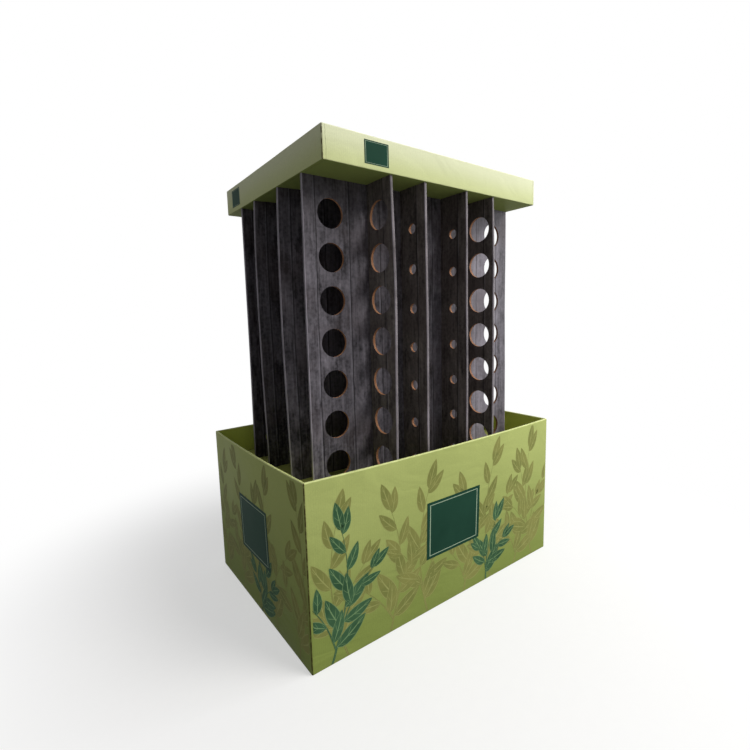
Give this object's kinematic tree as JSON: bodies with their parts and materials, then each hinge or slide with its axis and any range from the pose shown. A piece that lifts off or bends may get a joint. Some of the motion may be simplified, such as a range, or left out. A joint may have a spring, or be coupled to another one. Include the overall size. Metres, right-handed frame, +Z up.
{
  "type": "cardboard display stand",
  "caption": "Cardboard floor display stand: deep base tray, slotted rack boards that hold lying bottles by body and neck, and a shallow header tray.",
  "frame": {"origin": "on the floor, in the middle of the base tray", "axes": "+X right along the long front, +Y into the depth, +Z up; the front faces -Y"},
  "size_m": [1.2198, 0.8396, 1.59],
  "materials": {
    "tray_board": "printed yellow-green, satin varnish",
    "deck_board": "printed olive, matt",
    "rack_board": "printed dark weathered planks, matt, bare kraft cut edges",
    "support_board": "plain kraft, unprinted"
  },
  "bodies": {
    "root": {"base_tray": "tray_board", "deck": "deck_board", "support_long_1": "support_board", "support_long_2": "support_board", "support_cross_1": "support_board", "support_cross_2": "support_board", "support_cross_3": "support_board", "support_cross_4": "support_board", "long_board_1": "rack_board", "long_board_2": "rack_board", "long_board_3": "rack_board", "long_board_4": "rack_board", "cross_board_1": "rack_board", "cross_board_2": "rack_board", "cross_board_3": "rack_board", "cross_board_4": "rack_board", "header_tray": "tray_board"}
  },
  "joints": []
}
